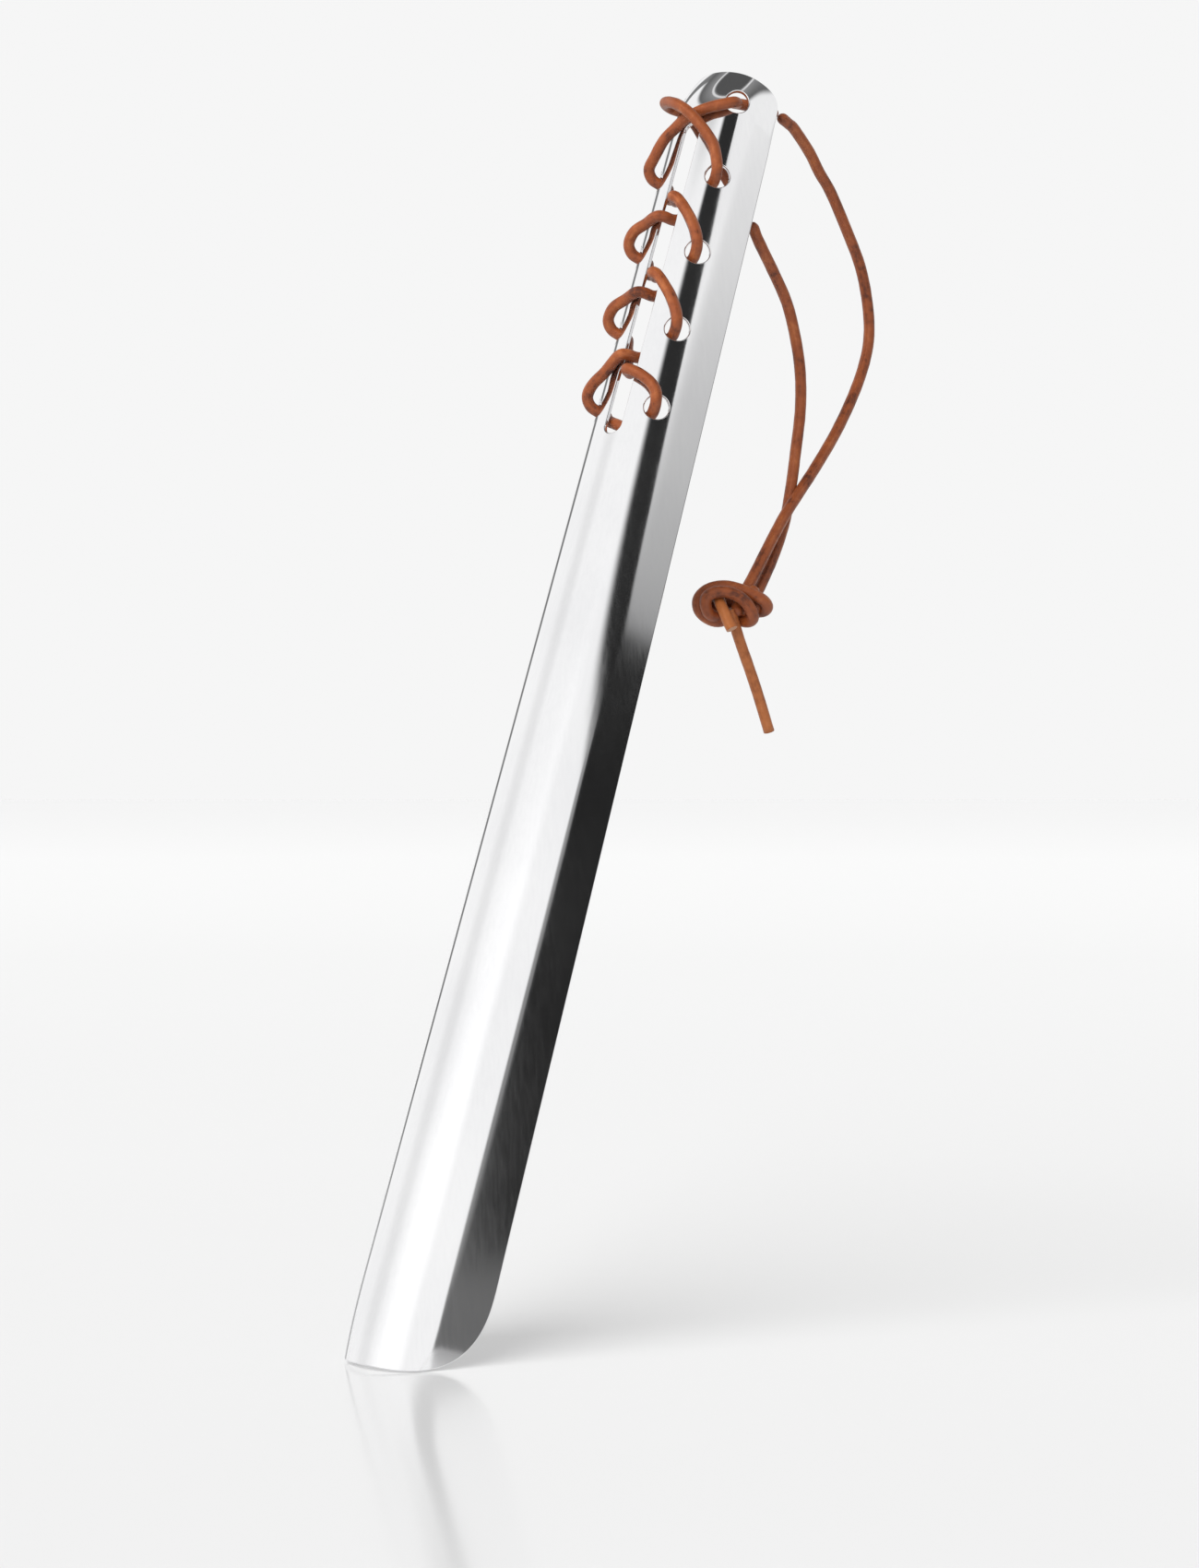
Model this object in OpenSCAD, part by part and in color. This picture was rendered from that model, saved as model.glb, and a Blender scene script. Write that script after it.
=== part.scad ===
// Long shoehorn: one rolled sheet of polished steel, laced with one round leather
// cord whose two ends leave the right edge and hang as a knotted strap.
// Millimetres. X right, Y away from the front, Z up. The origin is the middle of the
// laced grip, on the centre line of the rolled ridge.

/* [Sheet] */
// length of the steel sheet along its own axis
sheet_length = 460;      // [350:5:600]
// thickness of the steel sheet
sheet_t = 1.5;           // [1:0.1:2.5]
// outside radius of the rolled ridge
ridge_radius = 19.8;     // [15:0.1:30]
// half angle of the rolled part, flat wings follow on both sides
ridge_half_angle = 61;   // [45:1:75]
// half of the flat sheet width at the tip
half_width_tip = 37.4;   // [25:0.1:50]
// half of the flat sheet width at the handle end
half_width_top = 30.2;   // [22:0.1:45]
// length of the rounded tip
tip_round = 32.2;        // [10:0.1:50]
// length of the rounded corners at the handle end
top_round = 16.3;        // [5:0.1:30]
// height of the middle hole row above the tip
grip_height = 388.6;     // [250:0.1:500]

/* [Holes and slot] */
// diameter of a lacing hole
hole_d = 8.7;            // [6:0.1:12]
// angle of the hole columns from the ridge line
hole_angle = 41.5;       // [30:0.5:50]
// spacing of the hole rows
row_pitch = 29.8;        // [15:0.1:40]
// width of the long slot between the hole columns
slot_w = 7.2;            // [5:0.1:12]
// lower end of the slot
slot_low = -71;          // [-85:1:-60]
// upper end of the slot
slot_high = 50;          // [40:1:58]

/* [Cord] */
// diameter of the leather cord
cord_d = 4;              // [3:0.1:4.6]
// gap between the laced cord and the hanging strap
strap_gap = 0.6;         // [0.3:0.1:1]

/* [Attitude] */
// lean of the whole shoehorn to the right
lean_right = 15;         // [0:1:45]
// lean of the whole shoehorn away from the front
lean_back = 15;          // [0:1:45]
// turn of the sheet about its own axis
spin = -42.5;            // [-90:0.5:90]

/* [Hidden] */

tip_z = -grip_height;
top_z = sheet_length - grip_height;
cord_r = cord_d / 2;
// how far the cord centre runs outside and inside the rolled sheet
over_r = ridge_radius + cord_r + 0.3;
under_r = ridge_radius - sheet_t - cord_r - 0.3;
mid_r = ridge_radius - sheet_t / 2;
arc_half = ridge_radius * ridge_half_angle * PI / 180;
row = [for (k = [0:5]) (3 - k) * row_pitch];   // row[1] is the top row, row[5] the lowest
cord_sides = 8;
strap_sides = 10;
exit_y = 1.69;                  // where the cord passes behind the right edge
leather = [0.62, 0.33, 0.18];
steel = [0.82, 0.83, 0.85];

// ---------- small helpers ----------
function unit(v) = v / norm(v);
function polar(s) = [s[2] * sin(s[0]), -s[2] * cos(s[0]), s[1]];
function mirrored(list) = [for (s = list) [-s[0], s[1], s[2]]];
function backwards(list) = [for (i = [len(list) - 1:-1:0]) list[i]];
function lifted(list, h) = [for (s = list) [s[0], s[1] + h, s[2]]];

function curve(a, b, c, d, t) = 0.5 * ((2 * b) + (c - a) * t
    + (2 * a - 5 * b + 4 * c - d) * t * t + (3 * b - a - 3 * c + d) * t * t * t);
function smooth(p, n) = [for (i = [0:len(p) - 2]) for (k = [0:n - 1])
    curve(p[max(i - 1, 0)], p[i], p[i + 1], p[min(i + 2, len(p) - 1)], k / n), p[len(p) - 1]];

function heading(q, i) = unit(q[min(i + 1, len(q) - 1)] - q[max(i - 1, 0)]);
function carry(n, t) = unit(n - (n * t) * t);
function frames(q) = [for (i = 0, n = carry([0.31, 0.52, 0.79], heading(q, 0)); i < len(q);
    i = i + 1, n = i < len(q) ? carry(n, heading(q, i)) : n) n];
function ring(c, t, n, r, sides) = let (b = cross(t, n))
    [for (k = [0:sides - 1]) c + r * (cos(360 * k / sides) * n + sin(360 * k / sides) * b)];
function sides_of(rings, m) = [for (i = [0:rings - 2]) for (k = [0:m - 1])
    let (a = i * m + k, b = i * m + (k + 1) % m) each [[b, a, a + m], [b, a + m, b + m]]];

// a rounded end: the cord's radius at a distance s from its very end
function end_round(s) = s < cord_r ? cord_r * max(0.2, sqrt(1 - pow(1 - s / cord_r, 2))) : cord_r;

// a round cord along the points q; "domed" says which of its two ends are rounded
module cord(q, sides, domed = [false, false]) {
    f = frames(q);
    last = len(q) - 1;
    pts = [for (i = [0:last]) each ring(q[i], heading(q, i), f[i],
        min(domed[0] ? end_round(norm(q[i] - q[0])) : cord_r,
            domed[1] ? end_round(norm(q[i] - q[last])) : cord_r), sides)];
    polyhedron(points = pts, faces = concat(sides_of(len(q), sides),
        [[for (k = [0:sides - 1]) k]],
        [[for (k = [sides - 1:-1:0]) last * sides + k]]), convexity = 12);
}

// the whole shoehorn leans the way it is shown
module held() rotate([0, lean_right, 0]) rotate([-lean_back, 0, 0]) rotate([0, 0, spin])
    children();

// ---------- steel sheet ----------
function half_width(z) = half_width_tip
    + (half_width_top - half_width_tip) * (z - tip_z) / sheet_length;
function tip_z_at(s) = tip_z + tip_round * (1 - pow(1 - pow(abs(s), 2.7), 1 / 2.7));
function top_z_at(s) = top_z - top_round * (1 - pow(1 - pow(abs(s), 4), 1 / 4));

// outline of the flat sheet from the ridge line (0) outwards, and of one flat wing
tip_line = [for (k = [0:12]) let (s = 1 - pow(1 - k / 12, 2)) [s * half_width_tip, tip_z_at(s)]];
top_line = [for (k = [12:-1:0]) let (s = 1 - pow(1 - k / 12, 2)) [s * half_width_top, top_z_at(s)]];
half_outline = concat([[-1, tip_z]], tip_line, top_line, [[-1, top_z]]);

// shape of the rolled part seen from the front: sheet width turned into an angle
function rolled(list) = [for (p = list) [ridge_radius * sin(min(p[0], arc_half)
    / ridge_radius * 180 / PI), p[1]]];
arc_outline = rolled([for (k = [0:10]) let (w = arc_half * k / 10) [w, tip_z_at(w / half_width_tip)]]);
arc_top = rolled([for (k = [10:-1:0]) let (w = arc_half * k / 10) [w, top_z_at(w / half_width_top)]]);

module arc_part() intersection() {
    translate([0, 0, tip_z]) difference() {
        cylinder(r = ridge_radius, h = sheet_length, $fn = 96);
        translate([0, 0, -1]) cylinder(r = ridge_radius - sheet_t, h = sheet_length + 2, $fn = 96);
        for (m = [0, 1]) mirror([m, 0, 0]) rotate(ridge_half_angle - 90)
            translate([0, 0, -1]) cube([60, 60, sheet_length + 2]);
        translate([-40, -ridge_radius * cos(ridge_half_angle) + 6, -1]) cube([80, 60, sheet_length + 2]);
    }
    rotate([90, 0, 0]) linear_extrude(60)
        polygon(concat(arc_outline, arc_top,
            backwards([for (p = concat(arc_outline, arc_top)) [-p[0], p[1]]])));
}

module wing_part() translate([ridge_radius * sin(ridge_half_angle), -ridge_radius * cos(ridge_half_angle), 0])
    rotate(ridge_half_angle) translate([-arc_half, 0, 0]) intersection() {
        translate([arc_half - 0.02, 0, tip_z - 1]) cube([40, sheet_t, sheet_length + 2]);
        translate([0, sheet_t, 0]) rotate([90, 0, 0]) linear_extrude(sheet_t)
            polygon(half_outline);
    }

module lacing_openings() {
    for (k = [1:5]) for (side = [-1, 1]) translate([0, 0, row[k]]) rotate(side * hole_angle)
        rotate([90, 0, 0]) cylinder(d = hole_d, h = 40, $fn = 48);
    translate([-slot_w / 2, -40, slot_low + slot_w / 2]) cube([slot_w, 40, slot_high - slot_low - slot_w]);
    for (z = [slot_low + slot_w / 2, slot_high - slot_w / 2]) translate([0, 0, z])
        rotate([90, 0, 0]) cylinder(d = slot_w, h = 40, $fn = 48);
}

module shoehorn_blade() color(steel) held() difference() {
    union() {
        arc_part();
        wing_part();
        mirror([1, 0, 0]) wing_part();
    }
    lacing_openings();
}

// ---------- lacing: stations are [angle from the ridge, height, radius] ----------
// from the inside of a right hole to the outside, heights from the hole centre
hole_turn = [[26, -6.5, under_r], [33, -3.4, under_r], [37.5, -2, 16.4], [39.5, -0.8, 18.8],
             [39.5, 1.4, 21.2], [37, 4.6, over_r]];
// the same at a left hole, where the cord stands off the sheet in a loop
hole_loop = mirrored([[26, -6.5, under_r], [34, -2.5, under_r], [39.5, -1, 16.3],
             [42.5, 0, 19], [43.5, 1.4, 22.2], [40, 4, 24.3], [32, 7.4, 24.2]]);
// over the right bar and steeply down through the slot to the inside, rows 3 and 4
right_over = [[30, 9.4, over_r], [20, 14.2, over_r], [11, 17.8, over_r], [5.5, 19, 22],
              [1.5, 19.6, 20.4], [-1.5, 20, 17.7], [-6, 20.6, 16], [-12, 21.6, under_r]];
left_over = mirrored([[23, 10.2, over_r], [12, 11.4, over_r], [5.5, 11.7, 22], [1.5, 11.9, 20.4],
              [-1.5, 12.2, 17.7], [-6, 13, 16], [-12, 14.6, under_r]]);
// the lowest row crosses closer together
low_right_over = [[31, 7.2, over_r], [22, 9.3, over_r], [12, 10.9, over_r], [5.5, 11.6, 22],
              [1.5, 12, 20.4], [-1.5, 12.5, 17.7], [-6, 13.3, 16], [-12, 14.8, under_r]];
low_left_over = mirrored([[24, 12.2, over_r], [12, 16.2, over_r], [5.5, 17.4, 22], [1.5, 17.9, 20.4],
              [-1.5, 18.3, 17.7], [-6, 18.9, 16], [-12, 20, under_r]]);
bottom_bar = [[-22, -4.4, under_r - 0.4], [-11, -5.6, under_r - 0.8], [0, -6.6, under_r - 1],
              [11, -6.8, under_r - 0.8], [22, -5.6, under_r - 0.4]];

first_right = [for (i = [1:5]) hole_turn[i]];
first_left = [for (i = [1:6]) hole_loop[i]];

// half A starts at the lowest right hole and ends outside the second left hole
half_a = concat(lifted(concat(first_right, low_right_over), row[5]),
    lifted(concat(hole_loop, left_over), row[4]),
    lifted(concat(hole_turn, right_over), row[3]),
    lifted(hole_loop, row[2]));
cross_a = [[-25, 43.4, 23.4], [-16, 47.6, over_r], [-6, 50.2, over_r], [6, 52.4, over_r],
           [18, 54.4, over_r], [30, 56.2, over_r], [38.5, 58, 21.6], [42, 59.4, 18.8], [38.5, 60.6, 16.2]];
end_a = [[13, -8.6, 61.6], [15.2, -4.8, 62.4], [16.6, -2.2, 62.8], [17.6, -0.4, 62.9],
         [18.2, 0.8, 63], [18.5, 1.4, 63], [18.66, exit_y, 63]];

// half B starts at the lowest left hole, the last strand rides over half A
half_b = concat(lifted(concat(first_left, low_left_over), row[5]),
    lifted(concat(hole_turn, right_over), row[4]),
    lifted(concat(hole_loop, left_over), row[3]),
    lifted(hole_turn, row[2]));
cross_b = [[31, 39.6, 22.6], [22, 43.6, 23.8], [12, 47.6, 25.6], [3, 50.8, 27], [-7, 53.6, 27.2],
           [-18, 56, 26.8], [-29, 58, 26], [-38, 59.4, 24.4], [-43, 59.8, 21.8], [-42.5, 59.6, 18.8],
           [-38.5, 58.6, 16.4]];
end_b = [[-6.5, -10.6, 54.8], [0, -7.4, 46], [7, -4.2, 36.6], [13.4, -1.4, 28], [16.4, 0.2, 23.8],
         [17.6, 1, 22.2], [18.3, 1.45, 21.2], [18.66, exit_y, 20.7]];

lacing_route = concat(backwards(concat([for (s = concat(half_b, cross_b)) polar(s)], end_b)),
    [for (s = lifted(bottom_bar, row[5])) polar(s)],
    [for (s = concat(half_a, cross_a)) polar(s)], end_a);

module lacing_cord() color(leather) held() cord(smooth(lacing_route, 2), cord_sides, [true, true]);

// ---------- strap: two strands hang from the right edge into one knot ----------
upper_route = [[18.75, exit_y + strap_gap, 63.1], [18.8, 2.7, 63.1], [18.85, 3.6, 63.1],
    [18.95, 5, 63.2], [19.15, 8, 63.2], [19.5, 11.4, 62.9], [20.5, 21.2, 59.3], [21.4, 28.6, 54.9],
    [22.2, 36.4, 51.3], [23.5, 48.8, 42.7], [24.6, 60.4, 33.7], [25.4, 68.6, 22.9], [25.9, 73.3, 12.2],
    [26, 74.3, 1.4], [25.8, 72.6, -12.5], [25.5, 68.2, -29.5], [25, 62.1, -46.3], [24.6, 57.2, -58.1],
    [24.2, 52.7, -69.4], [23.7, 49, -81.9], [23.1, 46.2, -93], [22.5, 44.6, -99.6], [22.2, 43, -104]];
lower_route = [[18.75, exit_y + strap_gap, 20.3], [18.78, 2.7, 20], [18.82, 3.5, 19.3],
    [18.92, 4.8, 18.3], [19.1, 7.2, 16.5], [19.4, 12.5, 13.5], [19.6, 18.5, 10.4], [20.4, 29.9, 3.1],
    [20.8, 39.3, -6.8], [21.1, 46, -16.9], [21.2, 50.9, -29.2], [21.3, 53.8, -44.2],
    [21.5, 55.6, -55.8], [21.6, 56.8, -69.3], [21.9, 55.2, -82.4], [22, 52.2, -95], [22, 49.6, -103]];
knot_centre = [21.6, 39, -109];
tail_route = [[21.6, 39, -111], [21.9, 42, -114], [22.3, 48, -119.6], [22.8, 55, -125.6],
    [23.4, 63, -132.8], [24.3, 73, -142.8]];
stub_route = [[20.8, 33, -111], [21.1, 35, -113.4], [21.5, 38, -116.2], [21.9, 41.4, -119]];

module strap_upper_strand() color(leather) held()
    cord(smooth(upper_route, 2), strap_sides, [true, false]);
module strap_lower_strand() color(leather) held()
    cord(smooth(lower_route, 2), strap_sides, [true, false]);
module knot_tail() color(leather) held() cord(smooth(tail_route, 2), strap_sides);
module knot_stub() color(leather) held() cord(smooth(stub_route, 2), strap_sides);

// wraps of the doubled cord, side by side on a lying axis
wrap_x = [-8.6, -3.2, 3.2, 8.6];
wrap_r = [3.6, 5.6, 5.6, 3.6];
module strap_knot() color(leather) held() translate(knot_centre) rotate([0, 75.5, 38.5])
    rotate_extrude($fn = 48) intersection() {
        union() for (i = [0:3]) {
            translate([wrap_r[i], wrap_x[i]]) circle(r = cord_r + 0.6, $fn = 32);
            translate([0, wrap_x[i] - 3.2]) square([wrap_r[i], 6.4]);
        }
        translate([0, -20]) square([20, 40]);
    }

shoehorn_blade();
lacing_cord();
strap_upper_strand();
strap_lower_strand();
strap_knot();
knot_tail();
knot_stub();
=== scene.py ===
# %% [markdown]
# # A long shoehorn with a laced grip
# One sheet of polished steel is rolled into a shallow channel and laced with one round
# leather cord. Everything is in metres, in the frame of the solid model.

# %% Start: the solid model
import math

import bpy
import numpy as np
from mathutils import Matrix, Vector
from mathutils.geometry import delaunay_2d_cdt


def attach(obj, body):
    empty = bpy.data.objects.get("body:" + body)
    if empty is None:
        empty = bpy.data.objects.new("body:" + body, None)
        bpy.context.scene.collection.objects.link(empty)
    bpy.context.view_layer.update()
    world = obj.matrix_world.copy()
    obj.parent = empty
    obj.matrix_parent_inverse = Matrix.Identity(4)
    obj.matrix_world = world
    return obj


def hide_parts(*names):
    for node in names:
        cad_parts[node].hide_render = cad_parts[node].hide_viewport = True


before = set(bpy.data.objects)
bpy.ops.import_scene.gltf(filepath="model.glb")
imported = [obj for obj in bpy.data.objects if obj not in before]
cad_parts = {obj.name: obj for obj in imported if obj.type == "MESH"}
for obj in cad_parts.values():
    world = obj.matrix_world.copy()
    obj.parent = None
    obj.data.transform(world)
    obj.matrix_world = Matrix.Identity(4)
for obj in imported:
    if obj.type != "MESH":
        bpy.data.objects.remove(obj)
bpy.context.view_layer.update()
MM = 0.001
print("nodes", sorted(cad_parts))

# %% [markdown]
# The shoehorn stands on its tip and leans 15 degrees right and 15 degrees back. Its own
# frame has z along the ridge and y into the hollow side.

# %% The lean of the whole shoehorn
LEAN_RIGHT, LEAN_BACK, SPIN = 15, 15, -42.5


def turn(axis, degrees):
    c, s = math.cos(math.radians(degrees)), math.sin(math.radians(degrees))
    return np.array({"x": [[1, 0, 0], [0, c, -s], [0, s, c]],
                     "y": [[c, 0, s], [0, 1, 0], [-s, 0, c]],
                     "z": [[c, -s, 0], [s, c, 0], [0, 0, 1]]}[axis])


LEAN = turn("y", LEAN_RIGHT) @ turn("x", -LEAN_BACK) @ turn("z", SPIN)


def held(points):
    """Points in millimetres in the shoehorn's own frame, put in the row frame in metres."""
    return np.asarray(points, float) @ LEAN.T * MM


def placed(name, data):
    """A new object in the scene for a mesh, a camera or a light."""
    thing = bpy.data.objects.new(name, data)
    bpy.context.scene.collection.objects.link(thing)
    return thing


print("ridge direction", LEAN[:, 2].round(3))

# %% [markdown]
# A long lens a metre in front, a little below the grip, sees the object almost level.

# %% Camera
lens = bpy.data.cameras.new("studio_camera")
lens.sensor_fit = "VERTICAL"
lens.sensor_height = 36
lens.sensor_width = 36 * 13 / 17
lens.lens = 66.41
camera = placed("studio_camera", lens)
camera.location = (-0.0599, -1.0093, -0.1712)
camera.rotation_euler = (math.radians(90 + 1.82), 0, math.radians(-0.5))
lens.shift_x = 0.03416
lens.shift_y = -0.0716
lens.clip_end = 60
bpy.context.scene.camera = camera
bpy.context.scene.view_settings.view_transform = "Standard"
print("camera at", tuple(camera.location))

# %% [markdown]
# A small class lets node sockets be added and multiplied like numbers.

# %% Sockets that do sums
class Wire:
    """One node output. Numbers use Math, vectors Vector Math, colours Mix."""

    def __init__(self, tree, socket):
        self.tree, self.socket = tree, socket

    def make(self, kind, out=0, settings=None, inputs=None):
        """Any other node: its type, its settings and its inputs by name or number."""
        node = self.tree.nodes.new(kind)
        for key, value in (settings or {}).items():
            setattr(node, key, value)
        for key, value in (inputs or {}).items():
            if isinstance(value, Wire):
                self.tree.links.new(value.socket, node.inputs[key])
            else:
                node.inputs[key].default_value = value
        return Wire(self.tree, node.outputs[out])

    def _sum(self, operation, a, b):
        kinds = {w.socket.type for w in (a, b) if isinstance(w, Wire)}
        if "RGBA" in kinds:
            blend = {"MULTIPLY": "MULTIPLY", "ADD": "ADD", "SUBTRACT": "SUBTRACT",
                     "DIVIDE": "DIVIDE"}[operation]
            a, b = [w if isinstance(w, (Wire, tuple)) else (w, w, w, 1) for w in (a, b)]
            return self.make("ShaderNodeMix", 2, {"data_type": "RGBA", "blend_type": blend},
                             {0: 1.0, 6: a, 7: b})
        if "VECTOR" in kinds:
            a, b = [w if isinstance(w, (Wire, tuple)) else (w, w, w) for w in (a, b)]
            return self.make("ShaderNodeVectorMath", 0, {"operation": operation}, {0: a, 1: b})
        return self.make("ShaderNodeMath", 0, {"operation": operation}, {0: a, 1: b})

    def __add__(self, other): return self._sum("ADD", self, other)
    def __radd__(self, other): return self._sum("ADD", other, self)
    def __sub__(self, other): return self._sum("SUBTRACT", self, other)
    def __rsub__(self, other): return self._sum("SUBTRACT", other, self)
    def __mul__(self, other): return self._sum("MULTIPLY", self, other)
    def __rmul__(self, other): return self._sum("MULTIPLY", other, self)
    def __truediv__(self, other): return self._sum("DIVIDE", self, other)
    def __rtruediv__(self, other): return self._sum("DIVIDE", other, self)

    def step(self, low, high):
        """0 below low, 1 above high, and smooth between."""
        return self.make("ShaderNodeMapRange", 0, {"interpolation_type": "SMOOTHSTEP"},
                         {0: self, 1: low, 2: high, 3: 0.0, 4: 1.0})

    def line(self, low, high, first, last):
        return self.make("ShaderNodeMapRange", 0, {}, {0: self, 1: low, 2: high, 3: first, 4: last})

    def between(self, a, b):
        """A number or a colour from a at 0 to b at 1."""
        if isinstance(a, tuple) or getattr(getattr(a, "socket", None), "type", "") == "RGBA":
            return self.make("ShaderNodeMix", 2, {"data_type": "RGBA"}, {0: self, 6: a, 7: b})
        return self.make("ShaderNodeMix", 0, {}, {0: self, 2: a, 3: b})


def new_finish(name):
    finish = bpy.data.materials.new(name)
    finish.use_nodes = True
    tree = finish.node_tree
    shader = tree.nodes["Principled BSDF"]
    place = Wire(tree, tree.nodes.new("ShaderNodeTexCoord").outputs["Object"])
    return finish, shader, place


def feed(shader, name, wire):
    wire.tree.links.new(wire.socket, shader.inputs[name])


print("sums ready")

# %% [markdown]
# The leather is tan and mottled, with fine fibres along the cord and a soft sheen.

# %% Leather finishes
def leather(name, dark, middle, light):
    finish, shader, place = new_finish(name)
    along = place.make("ShaderNodeUVMap", 0, {"uv_map": "cord"})
    cloud = place.make("ShaderNodeTexNoise", 0, {}, {0: place, "Scale": 85.0, "Detail": 4.0})
    blotch = place.make("ShaderNodeTexNoise", 0, {}, {0: place, "Scale": 330.0, "Detail": 5.0,
                                                       "Roughness": 0.62})
    fibre = place.make("ShaderNodeTexNoise", 0, {}, {0: along * (0.35, 9.0, 1.0), "Scale": 1.0,
                                                      "Detail": 6.0, "Roughness": 0.6})
    pore = place.make("ShaderNodeTexNoise", 0, {}, {0: place, "Scale": 1700.0, "Detail": 3.0})
    wear = cloud * 0.35 + blotch * 0.4 + fibre * 0.25
    deep = wear.step(0.36, 0.50).between(dark, middle)
    colour = wear.step(0.50, 0.66).between(deep, light)
    feed(shader, "Base Color", colour)
    feed(shader, "Roughness", wear.line(0.3, 0.7, 0.55, 0.36))
    height = fibre * 0.5 + blotch * 0.3 + pore * 0.3
    bump = place.make("ShaderNodeBump", 0, {}, {"Strength": 0.3, "Distance": 0.00008,
                                                 "Height": height})
    feed(shader, "Normal", bump)
    shader.inputs["Sheen Weight"].default_value = 0.04
    shader.inputs["Sheen Roughness"].default_value = 0.5
    shader.inputs["Specular IOR Level"].default_value = 0.5
    return finish


tan_leather = leather("tan_leather", (0.080, 0.017, 0.005, 1), (0.265, 0.062, 0.014, 1),
                      (0.40, 0.115, 0.030, 1))
tail_leather = leather("tail_leather", (0.30, 0.085, 0.020, 1), (0.44, 0.135, 0.034, 1),
                       (0.54, 0.19, 0.060, 1))
cut_leather = leather("cut_leather", (0.24, 0.10, 0.05, 1), (0.50, 0.26, 0.15, 1),
                      (0.68, 0.42, 0.28, 1))
print("leather finishes ready")

# %% [markdown]
# The lacing runs out of each hole, over the bar beside the slot, down through the slot
# and under the other bar to the next hole. Its stations are angle, height and radius.

# %% Lacing route
CORD, ROUNDED = 4.0, 2.4
RIDGE, SHEET = 19.8, 1.5
OVER, UNDER = RIDGE + CORD / 2 + 0.3, RIDGE - SHEET - CORD / 2 - 0.3
PITCH = 29.8
ROW = [(3 - k) * PITCH for k in range(6)]


def polar(station):
    a = math.radians(station[0])
    return [station[2] * math.sin(a), -station[2] * math.cos(a), station[1]]


def mirrored(stations):
    return [[-a, h, r] for a, h, r in stations]


def lifted(stations, by):
    return [[a, h + by, r] for a, h, r in stations]


def smooth(points, n):
    """A curve through every point, with n steps between neighbours."""
    p, line = np.array(points, float), []
    for i in range(len(p) - 1):
        a, b, c, d = p[max(i - 1, 0)], p[i], p[i + 1], p[min(i + 2, len(p) - 1)]
        for t in np.arange(n) / n:
            line.append(0.5 * (2 * b + (c - a) * t + (2 * a - 5 * b + 4 * c - d) * t * t
                               + (3 * b - a - 3 * c + d) * t ** 3))
    return np.array(line + [p[-1]])


hole_turn = [[26, -6.5, UNDER], [33, -3.4, UNDER], [37.5, -2, 16.4], [39.5, -0.8, 18.8],
             [39.5, 1.4, 21.2], [37, 4.6, OVER]]
hole_loop = mirrored([[26, -6.5, UNDER], [34, -2.5, UNDER], [39.5, -1, 16.3],
                      [42.5, 0, 19], [43.5, 1.4, 22.2], [40, 4, 24.3], [32, 7.4, 24.2]])
right_over = [[30, 9.4, OVER], [20, 14.2, OVER], [11, 17.8, OVER], [5.5, 19, 22],
              [1.5, 19.6, 20.4], [-1.5, 20, 17.7], [-6, 20.6, 16], [-12, 21.6, UNDER]]
left_over = mirrored([[23, 10.2, OVER], [12, 11.4, OVER], [5.5, 11.7, 22], [1.5, 11.9, 20.4],
                      [-1.5, 12.2, 17.7], [-6, 13, 16], [-12, 14.6, UNDER]])
low_right_over = [[31, 7.2, OVER], [22, 9.3, OVER], [12, 10.9, OVER], [5.5, 11.6, 22],
                  [1.5, 12, 20.4], [-1.5, 12.5, 17.7], [-6, 13.3, 16], [-12, 14.8, UNDER]]
low_left_over = mirrored([[24, 12.2, OVER], [12, 16.2, OVER], [5.5, 17.4, 22], [1.5, 17.9, 20.4],
                          [-1.5, 18.3, 17.7], [-6, 18.9, 16], [-12, 20, UNDER]])
bottom_bar = [[-22, -4.4, UNDER - 0.4], [-11, -5.6, UNDER - 0.8], [0, -6.6, UNDER - 1],
              [11, -6.8, UNDER - 0.8], [22, -5.6, UNDER - 0.4]]
half_a = (lifted(hole_turn[1:] + low_right_over, ROW[5]) + lifted(hole_loop + left_over, ROW[4])
          + lifted(hole_turn + right_over, ROW[3]) + lifted(hole_loop, ROW[2]))
cross_a = [[-25, 43.4, 23.4], [-16, 47.6, OVER], [-6, 50.2, OVER], [6, 52.4, OVER],
           [18, 54.4, OVER], [30, 56.2, OVER], [38.5, 58, 21.6], [42, 59.4, 18.8],
           [38.5, 60.6, 16.2]]
end_a = [[13, -8.6, 61.6], [15.2, -4.8, 62.4], [16.6, -2.2, 62.8], [17.6, -0.4, 62.9],
         [18.2, 0.8, 63], [18.5, 1.4, 63], [18.66, 1.69, 63]]
half_b = (lifted(hole_loop[1:] + low_left_over, ROW[5]) + lifted(hole_turn + right_over, ROW[4])
          + lifted(hole_loop + left_over, ROW[3]) + lifted(hole_turn, ROW[2]))
cross_b = [[31, 39.6, 22.6], [22, 43.6, 23.8], [12, 47.6, 25.6], [3, 50.8, 27], [-7, 53.6, 27.2],
           [-18, 56, 26.8], [-29, 58, 26], [-38, 59.4, 24.4], [-43, 59.8, 21.8],
           [-42.5, 59.6, 18.8], [-38.5, 58.6, 16.4]]
end_b = [[-6.5, -10.6, 54.8], [0, -7.4, 46], [7, -4.2, 36.6], [13.4, -1.4, 28], [16.4, 0.2, 23.8],
         [17.6, 1, 22.2], [18.3, 1.45, 21.2], [18.66, 1.69, 20.7]]
lacing_route = ([polar(s) for s in half_b + cross_b] + end_b)[::-1]
lacing_route += [polar(s) for s in lifted(bottom_bar, ROW[5])]
lacing_route += [polar(s) for s in half_a + cross_a] + end_a
print("lacing stations", len(lacing_route))

# %% [markdown]
# The strap's two strands leave the right edge, cross once and meet in the knot.

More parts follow.
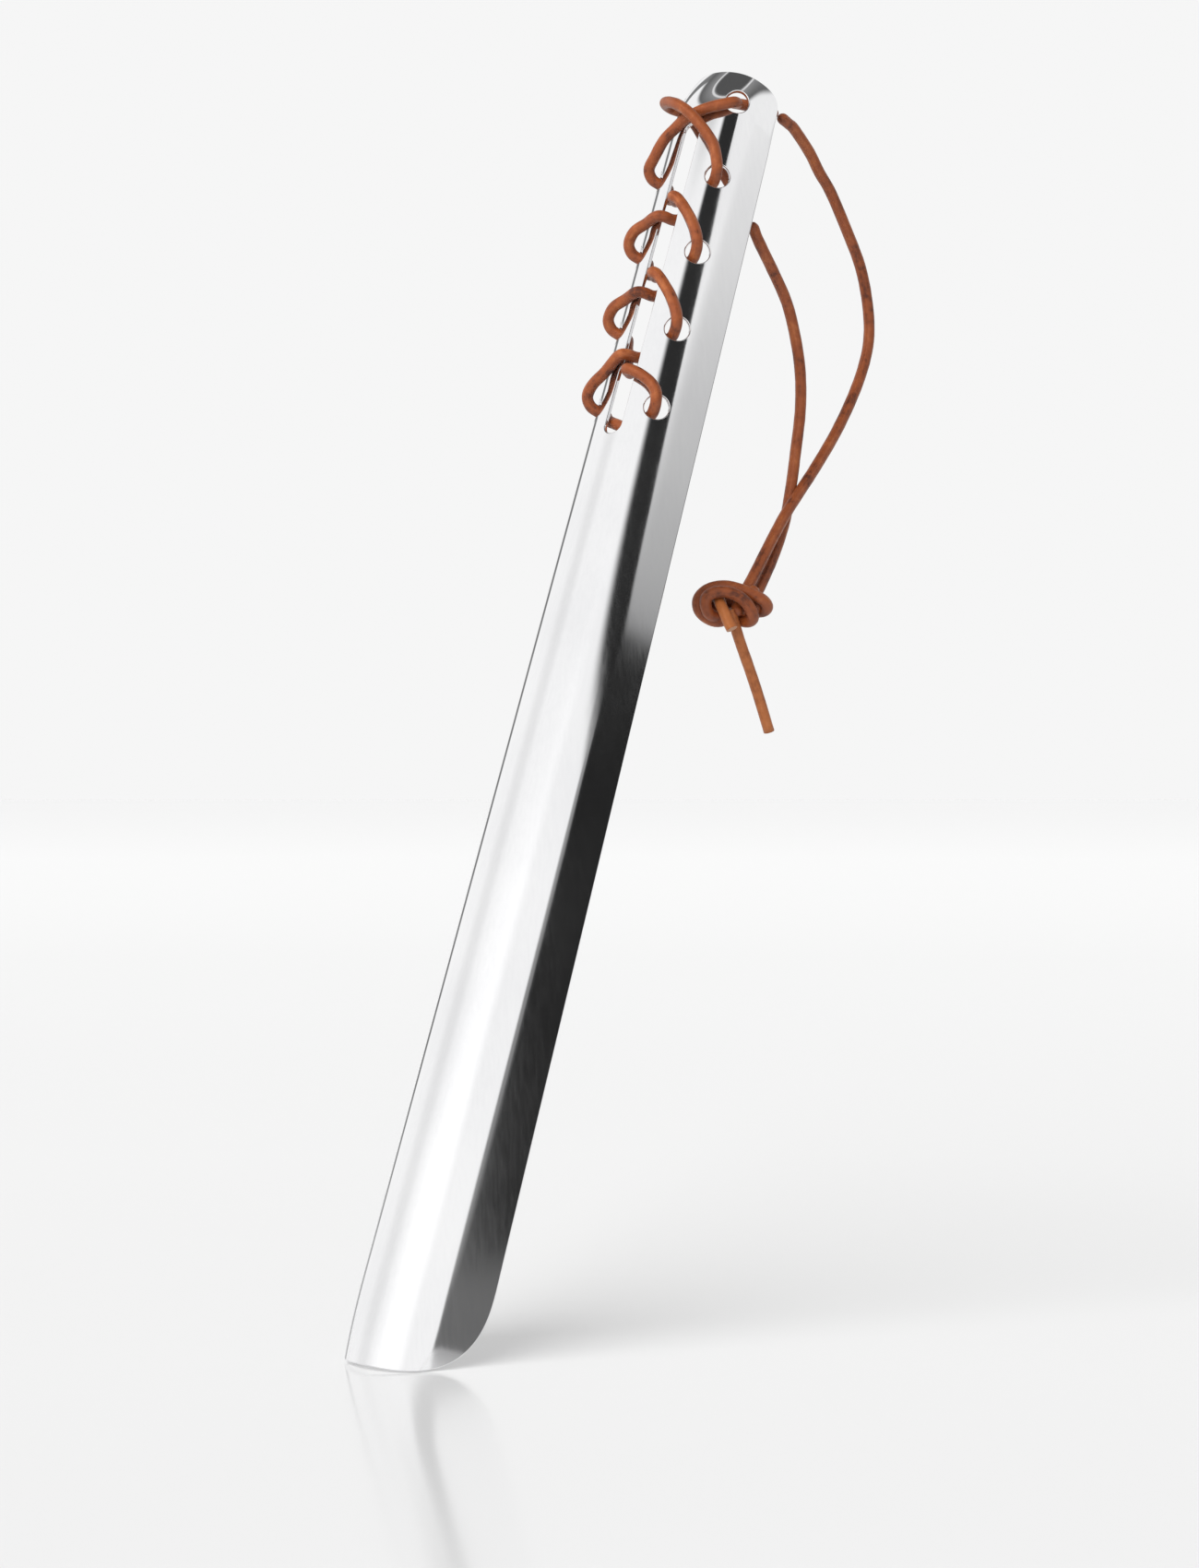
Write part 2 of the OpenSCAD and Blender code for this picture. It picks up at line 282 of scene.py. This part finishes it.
# %% Strap routes
upper_route = [[18.75, 2.29, 63.1], [18.8, 2.7, 63.1], [18.85, 3.6, 63.1], [18.95, 5, 63.2],
               [19.15, 8, 63.2], [19.5, 11.4, 62.9], [20.5, 21.2, 59.3], [21.4, 28.6, 54.9],
               [22.2, 36.4, 51.3], [23.5, 48.8, 42.7], [24.6, 60.4, 33.7], [25.4, 68.6, 22.9],
               [25.9, 73.3, 12.2], [26, 74.3, 1.4], [25.8, 72.6, -12.5], [25.5, 68.2, -29.5],
               [25, 62.1, -46.3], [24.6, 57.2, -58.1], [24.2, 52.7, -69.4], [23.7, 49, -81.9],
               [23.1, 46.2, -93], [22.5, 44.6, -99.6], [22.2, 43, -104]]
lower_route = [[18.75, 2.29, 20.3], [18.78, 2.7, 20], [18.82, 3.5, 19.3], [18.92, 4.8, 18.3],
               [19.1, 7.2, 16.5], [19.4, 12.5, 13.5], [19.6, 18.5, 10.4], [20.4, 29.9, 3.1],
               [20.8, 39.3, -6.8], [21.1, 46, -16.9], [21.2, 50.9, -29.2], [21.3, 53.8, -44.2],
               [21.5, 55.6, -55.8], [21.6, 56.8, -69.3], [21.9, 55.2, -82.4], [22, 52.2, -95],
               [22, 49.6, -103]]
tail_route = [[21.6, 39, -111], [21.9, 42, -114], [22.3, 48, -119.6], [22.8, 55, -125.6],
              [23.4, 63, -132.8], [24.3, 73, -142.8]]
print("strap stations", len(upper_route), len(lower_route))

# %% [markdown]
# A cord is a ring of points carried along its route, with slightly uneven thickness.

# %% Cord meshes
def line_frames(q):
    heading = np.gradient(q, axis=0)
    heading /= np.linalg.norm(heading, axis=1)[:, None]
    side, sides = np.array([0.31, 0.52, 0.79]), []
    for t in heading:
        side = side - side @ t * t
        side /= np.linalg.norm(side)
        sides.append(side)
    return heading, np.array(sides)


def cord_mesh(name, route, finish, body, nodes=(), steps=5, thick=CORD, around=20, ends=(0, 0),
              tip=None):
    """A round cord along the route. ends rounds its two ends, and tip finishes a cut end."""
    q = smooth(route, steps)
    heading, side = line_frames(q)
    up = np.cross(heading, side)
    far = np.concatenate([[0], np.cumsum(np.linalg.norm(np.diff(q, axis=0), axis=1))])
    radius = np.full(len(q), thick / 2) * (1 + 0.018 * np.sin(far * 0.9) * np.sin(far * 0.23))
    for last, edge in zip(ends, (far, far[-1] - far)):
        if last:
            k = np.clip(1 - edge / last, 0, 1)
            radius *= np.sqrt(np.maximum(0.02, 1 - k * k))
    a = np.arange(around) / around * 2 * np.pi
    ring = (q[:, None] + radius[:, None, None] * (np.cos(a)[None, :, None] * side[:, None]
                                                   + np.sin(a)[None, :, None] * up[:, None]))
    n = len(q)
    faces = [[i * around + (k + 1) % around, i * around + k, (i + 1) * around + k,
              (i + 1) * around + (k + 1) % around] for i in range(n - 1) for k in range(around)]
    faces += [list(range(around))[::1], [(n - 1) * around + k for k in range(around)][::-1]]
    mesh = bpy.data.meshes.new(name)
    mesh.from_pydata(held(ring.reshape(-1, 3)).tolist(), [], faces)
    coordinates = mesh.uv_layers.new(name="cord").data
    for face in mesh.polygons:
        for corner, vertex in zip(face.loop_indices, face.vertices):
            i, k = divmod(vertex, around)
            wrap = 1.0 if face.index < (n - 1) * around and k == 0 and face.index % around else 0.0
            coordinates[corner].uv = (far[i] / 10, k / around + wrap)
    mesh.polygons.foreach_set("use_smooth", [True] * (len(faces) - 2) + [False] * 2)
    mesh.materials.append(finish)
    if tip:
        mesh.materials.append(tip)
        mesh.polygons[-1].material_index = 1
    mesh.update()
    piece = placed(name, mesh)
    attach(piece, body)
    if nodes:
        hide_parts(*nodes)
    print(name, "length", round(float(far[-1]), 1), "mm")
    return piece, held(q), far[-1] * MM


cord_mesh("lacing", lacing_route, tan_leather, "shoehorn", ["lacing_cord"], steps=6,
          ends=(ROUNDED, ROUNDED))

# %% [markdown]
# The knot is one overhand turn of the doubled cord: two loops lie side by side in front,
# and close behind round the strands, with three short tucks between them. Points are right,
# up and towards the front.

# %% Knot
KNOT_SPOT = np.array([21.6, 39, -109])


def around_knot(points):
    """Points in millimetres right, up and forwards of the knot's middle."""
    p = np.asarray(points, float)
    return KNOT_SPOT + np.stack([p[:, 0], -p[:, 2], p[:, 1]], 1) @ LEAN


front_loop = [[-1, -1.5, -3], [-4.5, -4.2, -1.5], [-7.6, -3.4, 1], [-9, -0.6, 2.6],
              [-8.6, 2.2, 3.4], [-5.9, 3.7, 4], [-2, 3.9, 4.4], [1.8, 2.6, 4.6], [5, 0, 4],
              [7, -3.2, 2.6], [7.2, -5.4, 0.4], [5.2, -6, -2.6], [1, -4.4, -5],
              [-4, -1.4, -6], [-7.4, 1.6, -5.2], [-6, 3.2, -2.4], [-1, 2.4, -1]]
back_loop = [[2, -3, -1.5], [-3.4, -5.8, -2.6], [-7.8, -5, -2], [-10.9, -2.2, -1.2],
             [-11.3, 1.4, -0.8], [-9, 4.4, -0.4], [-5, 5.9, 0], [-0.6, 5.9, 0.5], [3.6, 4.7, 1],
             [7.6, 3, 1.2], [11, 1.2, 0.4], [12.5, -1, -1.6], [11, -2.4, -4.4], [6.6, -1.8, -6.8],
             [1, 0.4, -8], [-4, 2.8, -7.4], [-7, 3.6, -4.4], [-3, 1.6, -2.2]]
tuck_right = [[8.6, 6.4, -3.6], [7, 2.6, -2.8], [5.6, -0.8, -2.4], [3.4, -4, -2.4]]
tuck_side = [[10.6, 3.6, -3.6], [10, 1.6, -3.2], [9, -0.6, -3], [7, -3, -3]]
tuck_left = [[4.8, 6, -3], [3.4, 2, -2], [2.2, -1, -0.5], [1.6, -4, 1]]
for name, points in (("knot_front_loop", front_loop), ("knot_back_loop", back_loop),
                     ("knot_tuck_right", tuck_right), ("knot_tuck_side", tuck_side),
                     ("knot_tuck_left", tuck_left)):
    strand, _, _ = cord_mesh(name, around_knot(points), tan_leather, "strap", ["strap_knot"],
                             steps=5, thick=CORD * 1.04, ends=(1.5, 1.5))
tail, _, _ = cord_mesh("tail", tail_route, tail_leather, "strap", ["knot_tail"],
                       thick=CORD * 0.96, tip=cut_leather)
stub, _, _ = cord_mesh("stub", around_knot([[-4.2, 1.2, 0.6], [-3.6, -0.8, 2.6], [-2.6, -3.4, 4.2],
                                            [-1.4, -6.4, 5], [-0.2, -9, 5.8]]), tail_leather,
                       "strap", ["knot_stub"], tip=cut_leather)

# %% [markdown]
# The two strands run from the hollow side into the knot and carry it as they hang.

# %% Strap strands
upper, upper_line, upper_length = cord_mesh("upper_strand", upper_route, tan_leather, "strap",
                                            ["strap_upper_strand"], ends=(ROUNDED, 0))
lower, lower_line, lower_length = cord_mesh("lower_strand", lower_route, tan_leather, "strap",
                                            ["strap_lower_strand"], ends=(ROUNDED, 0))
print("strap ready")

# %% [markdown]
# The steel sheet is meshed flat, as wide as its rolled width, and then rolled. s is the
# distance from the ridge line and t the height. Every corner gets the true normal.

# %% Flat outline
TIP, TOP = -388.6, 71.4
HALF_TIP, HALF_TOP = 37.4, 30.2
TIP_RISE, TIP_POWER = 32.2, 2.7
TOP_DROP, TOP_POWER = 16.3, 4
HOLE_RADIUS, HOLE_ANGLE = 4.35, 41.5
SLOT_LOW, SLOT_HIGH, SLOT_HALF = -71, 50, 3.62
BEVEL = 0.4


def top_edge(s):
    """Height of the rounded top at a distance from the ridge line."""
    u = np.clip(np.abs(s) / HALF_TOP, 0, 1)
    return TOP - TOP_DROP * (1 - (1 - u ** TOP_POWER) ** (1 / TOP_POWER))


def outline(n=90):
    """The edge of the flat sheet, anticlockwise from the middle of the tip."""
    u = 1 - (1 - np.linspace(0, 1, n)) ** 2.6
    tip_curve = TIP + TIP_RISE * (1 - (1 - u ** TIP_POWER) ** (1 / TIP_POWER))
    tip = np.stack([u * HALF_TIP, tip_curve], 1)
    top = np.stack([u * HALF_TOP, top_edge(u * HALF_TOP)], 1)[::-1]
    side = np.linspace(tip[-1], top[0], 110)[1:-1]
    right = np.concatenate([tip, side, top])
    left = right[1:-1][::-1] * [-1, 1]
    return np.concatenate([right, left])


def round_hole(s, t, n=40):
    a = np.linspace(0, 2 * np.pi, n, endpoint=False)
    return np.stack([s + HOLE_RADIUS * np.cos(a), t + HOLE_RADIUS * np.sin(a)], 1)[::-1]


def long_slot(low, high, half, n=20):
    a = np.linspace(0, np.pi, n)
    up = np.stack([half * np.cos(a), high - half + half * np.sin(a)], 1)
    down = np.stack([-half * np.cos(a), low + half - half * np.sin(a)], 1)
    straight = np.linspace(up[-1], down[0], 40)[1:-1]
    return np.concatenate([up, straight, down, straight[::-1] * [-1, 1]])[::-1]


HOLE_S = RIDGE * math.radians(HOLE_ANGLE)
loops = [outline(), long_slot(SLOT_LOW, SLOT_HIGH, SLOT_HALF)]
loops += [round_hole(side * HOLE_S, ROW[k]) for k in range(1, 6) for side in (-1, 1)]


def outward(loop):
    """Directions away from the steel at each edge point."""
    d = np.roll(loop, -1, 0) - np.roll(loop, 1, 0)
    d /= np.linalg.norm(d, axis=1)[:, None]
    return np.stack([d[:, 1], -d[:, 0]], 1)


print("edge loops", [len(l) for l in loops])

# %% [markdown]
# Points fill the flat sheet inside every edge, closer together near the grip's end.

# %% Flat mesh
def inside(points, loop):
    """Which points lie inside a closed loop."""
    x, y = points[:, 0][:, None], points[:, 1][:, None]
    a, b = loop[None], np.roll(loop, -1, 0)[None]
    cross = ((a[..., 1] > y) != (b[..., 1] > y)) & (
        x < (b[..., 0] - a[..., 0]) * (y - a[..., 1]) / (b[..., 1] - a[..., 1] + 1e-12) + a[..., 0])
    return cross.sum(1) % 2 == 1


def distance(points, loop):
    return np.min(np.linalg.norm(points[:, None] - loop[None], axis=2), 1)


inset = [loop - BEVEL * outward(loop) for loop in loops]
rows_t = np.concatenate([np.arange(TIP + 1, -80, 3.0), np.arange(-80, 46, 1.5),
                         np.arange(46, TOP, 0.75)])
grid = np.array([[s, t] for t in rows_t for s in np.arange(-37, 37.1, 1.0)])
keep = inside(grid, inset[0])
for loop in inset[1:]:
    keep &= ~inside(grid, loop)
grid = grid[keep]
near = np.ones(len(grid), bool)
for loop in inset:
    for part in np.array_split(np.arange(len(grid)), 20):
        near[part] &= distance(grid[part], loop) > 0.55
grid = grid[near]
flat = np.concatenate(inset + [grid])
edges, start = [], 0
for loop in inset:
    n = len(loop)
    edges += [(start + k, start + (k + 1) % n) for k in range(n)]
    start += n
result = delaunay_2d_cdt([Vector(p) for p in flat], edges, [], 0, 1e-6)
flat = np.array([tuple(v) for v in result[0]])
faces = np.array(result[2])
middle = flat[faces].mean(1)
keep = inside(middle, inset[0])
for loop in inset[1:]:
    keep &= ~inside(middle, loop)
faces = faces[keep]
print("flat sheet", len(flat), "points", len(faces), "triangles")

# %% [markdown]
# Rolling: the ridge is an arc, which eases into two flat wings. The handle end is dished
# towards the hollow side.

# %% Rolled surface
fine = np.linspace(0, 45, 1801)
ease = np.clip((fine - 17.4) / 7.4, 0, 1)
bend = (1 - ease * ease * (3 - 2 * ease)) / RIDGE
angle = np.concatenate([[0], np.cumsum((bend[1:] + bend[:-1]) / 2 * np.diff(fine))])
reach = np.concatenate([[0], np.cumsum(np.diff(fine) * np.cos((angle[1:] + angle[:-1]) / 2))])
depth = np.concatenate([[0], np.cumsum(np.diff(fine) * np.sin((angle[1:] + angle[:-1]) / 2))])


def rolled(s, t):
    """The outer face, in millimetres, dished at the top and drawn in at the tip."""
    a = np.abs(s)
    x, y = np.sign(s) * np.interp(a, fine, reach), -RIDGE + np.interp(a, fine, depth)
    turned = np.sign(s) * np.interp(a, fine, angle)
    rim = np.clip(1 - (top_edge(s) - t) / 16, 0, 1.2)
    dish = 5.4 * rim ** 2 * np.clip(1 - (a / 33) ** 2, 0, 1) ** 1.1
    rise = 0.45 * dish
    foot = np.clip(1 - (t - TIP) / 26, 0, 1)
    spoon = 1.2 * foot ** 2
    push = dish + spoon
    return np.stack([x - push * np.sin(turned), y + push * np.cos(turned), t + rise], -1)


def surface(s, t):
    """The outer face with its directions across, along and out."""
    e = 0.02
    across = rolled(s + e, t) - rolled(s - e, t)
    along = rolled(s, t + e) - rolled(s, t - e)
    across /= np.linalg.norm(across, axis=-1, keepdims=True)
    out = np.cross(across, along)
    out /= np.linalg.norm(out, axis=-1, keepdims=True)
    return rolled(s, t), across, np.cross(out, across), out


print("wing angle", round(math.degrees(angle[-1]), 1))

# %% [markdown]
# Both faces follow the rolled surface, and every edge is rounded over between them.

# %% Steel sheet mesh
where, thick_at, lean = [], [], []
sheet_points = len(flat)
for z, n in ((0.0, 1.0), (SHEET, -1.0)):
    where.append(flat)
    thick_at.append(np.full(len(flat), z))
    lean.append(np.tile([0, 0, n], (len(flat), 1)))
lists = faces.tolist() + (faces[:, ::-1] + sheet_points).tolist()
count = 2 * sheet_points
quarter = np.linspace(0, np.pi / 2, 5)
profile = [(BEVEL * (1 - math.sin(a)), BEVEL * (1 - math.cos(a)), math.sin(a), math.cos(a))
           for a in quarter]
profile += [(BEVEL * (1 - math.sin(a)), SHEET - BEVEL * (1 - math.cos(a)), math.sin(a),
             -math.cos(a)) for a in quarter[::-1]]
for loop in loops:
    away = outward(loop)
    n = len(loop)
    for back, z, side, face in profile:
        where.append(loop - back * away)
        thick_at.append(np.full(n, z))
        lean.append(np.concatenate([side * away, np.full((n, 1), face)], 1))
    for j in range(len(profile) - 1):
        a, b = count + j * n, count + (j + 1) * n
        lists += [[a + k, b + k, b + (k + 1) % n, a + (k + 1) % n] for k in range(n)]
    count += len(profile) * n
where, thick_at, lean = np.concatenate(where), np.concatenate(thick_at), np.concatenate(lean)
place, across, along, out = surface(where[:, 0], where[:, 1])
points = place - thick_at[:, None] * out
normals = lean[:, :1] * across + lean[:, 1:2] * along + lean[:, 2:] * out
mesh = bpy.data.meshes.new("steel_sheet")
mesh.from_pydata(held(points).tolist(), [], lists)
mesh.polygons.foreach_set("use_smooth", [True] * len(mesh.polygons))
mesh.update()
world_normals = normals @ LEAN.T
mesh.normals_split_custom_set_from_vertices(world_normals.tolist())
steel_sheet = placed("steel_sheet", mesh)
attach(steel_sheet, "shoehorn")
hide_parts("shoehorn_blade")
first = mesh.polygons[0]
print("steel faces", len(mesh.polygons), "first face turned out",
      round(float(Vector(world_normals[first.vertices[0]]).dot(first.normal)), 2))

# %% [markdown]
# Polished steel: nearly a mirror, with a faint haze of fine lines along the sheet.

# %% Steel finish
polished_steel, shader, place_wire = new_finish("polished_steel")
lines = place_wire.make("ShaderNodeTexNoise", 0, {}, {0: place_wire * (900.0, 900.0, 14.0),
                                                        "Scale": 1.0, "Detail": 3.0})
haze = place_wire.make("ShaderNodeTexNoise", 0, {}, {0: place_wire, "Scale": 22.0, "Detail": 3.0})
feed(shader, "Base Color", (lines * 0.3 + haze * 0.7).step(0.25, 0.75).between(
    (0.80, 0.80, 0.81, 1), (0.86, 0.86, 0.865, 1)))
feed(shader, "Roughness", (lines * 0.4 + haze * 0.6).line(0.3, 0.7, 0.035, 0.075))
shader.inputs["Metallic"].default_value = 1.0
mesh.materials.append(polished_steel)
print("steel ready")

# %% [markdown]
# The floor is pale and glossy, just under the tip.

# %% Floor
floor_z = float(min(v[2] for v in held(points)))
floor_mesh = bpy.data.meshes.new("floor")
size = 14.0
floor_mesh.from_pydata([(-size, -size, floor_z - 0.0002), (size, -size, floor_z - 0.0002),
                        (size, size, floor_z - 0.0002), (-size, size, floor_z - 0.0002)],
                       [], [[0, 1, 2, 3]])
floor = placed("floor", floor_mesh)
floor_finish, shader, place_wire = new_finish("pale_floor")
tint = place_wire.make("ShaderNodeTexNoise", 0, {}, {0: place_wire, "Scale": 3.0})
feed(shader, "Base Color", tint.between((0.925, 0.925, 0.925, 1), (0.93, 0.93, 0.93, 1)))
shader.inputs["Roughness"].default_value = 0.13
shader.inputs["Specular IOR Level"].default_value = 0.5
floor_mesh.materials.append(floor_finish)
print("floor at", round(floor_z, 4))

# %% [markdown]
# The room is evenly white. What the steel mirrors also has a dark flag to the right, under
# a softer panel, and a thin grey flag behind the left.

# %% Room
WHITE = 0.921
room = bpy.data.worlds.new("studio_room")
room.use_nodes = True
bpy.context.scene.world = room
tree = room.node_tree
ray = Wire(tree, tree.nodes.new("ShaderNodeTexCoord").outputs["Generated"])
parts = tree.nodes.new("ShaderNodeSeparateXYZ")
tree.links.new(ray.socket, parts.inputs[0])
rx, ry, rz = (Wire(tree, parts.outputs[i]) for i in range(3))
side_way = rx.make("ShaderNodeMath", 0, {"operation": "ARCTAN2"}, {0: rx, 1: 0 - ry}) * 57.2958
height = rz.make("ShaderNodeMath", 0, {"operation": "ARCSINE"}, {0: rz}) * 57.2958


def bent_line(wire, stops):
    """A bent line through (degrees up, degrees round) stops."""
    total = wire * 0.0 + stops[0][1]
    for (a, va), (b, vb) in zip(stops, stops[1:]):
        total = total + wire.line(a, b, 0.0, vb - va)
    return total


flag_left = bent_line(height, [(-5, 36), (4, 39.2), (10, 41), (15, 42), (18, 42), (22, 35),
                               (29, 19), (34, 8), (38, 0), (44, -9)])
flag_right = bent_line(height, [(17.3, 95), (17.8, 52), (18.4, 48.2), (19, 47.4), (21, 45.8),
                                (23, 44), (29, 36.5), (34, 30), (38, 23), (44, 20)])
soft = height.line(16, 38, 1.6, 9.0)
in_flag = (side_way - flag_left).make("ShaderNodeMapRange", 0, {"interpolation_type": "SMOOTHSTEP"},
                                      {0: (side_way - flag_left) / soft, 1: -0.5, 2: 0.5,
                                       3: 0.0, 4: 1.0})
past_flag = (side_way - flag_right).step(-0.4, 0.4)
grey_strip = (side_way - flag_left).step(2.0, 2.9)
panel = height.line(18.5, 29, 0.40, 0.98)
dark = grey_strip.between(height.line(4, 18, 0.20, 0.34), 0.020)
dark = height.step(17, 24).between(dark, 0.028)
dark = height.step(6.4, 7.4).between(0.16, dark)
right_side = past_flag.between(dark, panel)
glow = side_way.step(-75, -35) * (1 - side_way.step(-18, 6)) * (1 - height.step(26, 40))
ridge_side = 1.06 + glow * 0.22 - side_way.step(-112, -90) * (1 - side_way.step(-84, -66)) * 0.12
mirrored_room = in_flag.between(ridge_side, right_side)
mirrored_room = side_way.step(97, 104).between(mirrored_room, WHITE)
mirrored_room = side_way.step(-168, -164).between(WHITE, mirrored_room)
behind = side_way.step(-163, -159) * (1 - side_way.step(-150, -146))
mirrored_room = behind.between(mirrored_room, 0.22)
overhead = height.step(47, 53)
ceiling = (height.line(54, 66, 0.15, 0.30) - height.step(69, 72) * 0.2
           + height.step(66, 67.5) * (1 - height.step(68.5, 70)) * 0.5)
mirrored_room = overhead.between(mirrored_room, ceiling)
path = tree.nodes.new("ShaderNodeLightPath")
glossy = Wire(tree, path.outputs["Is Glossy Ray"])
diffuse = Wire(tree, path.outputs["Is Diffuse Ray"])
level = glossy.between(diffuse.between(WHITE, 0.42), mirrored_room)
shade = tree.nodes["Background"]
tree.links.new(level.socket, shade.inputs["Color"])
shade.inputs["Strength"].default_value = 1.0
print("room ready")

# %% [markdown]
# One broad light from the upper left gives the leather its shape and the floor a shadow.

# %% Key light
key = bpy.data.lights.new("soft_key", "SUN")
key.angle = math.radians(60)
key.energy = 3.0
key_light = placed("soft_key", key)
key_light.location = (-0.8, -0.9, 0.75)
key_light.rotation_euler = (Vector((0, 0, 0)) - key_light.location).to_track_quat(
    "-Z", "Y").to_euler()
key_light.visible_glossy = False
print("key light ready")
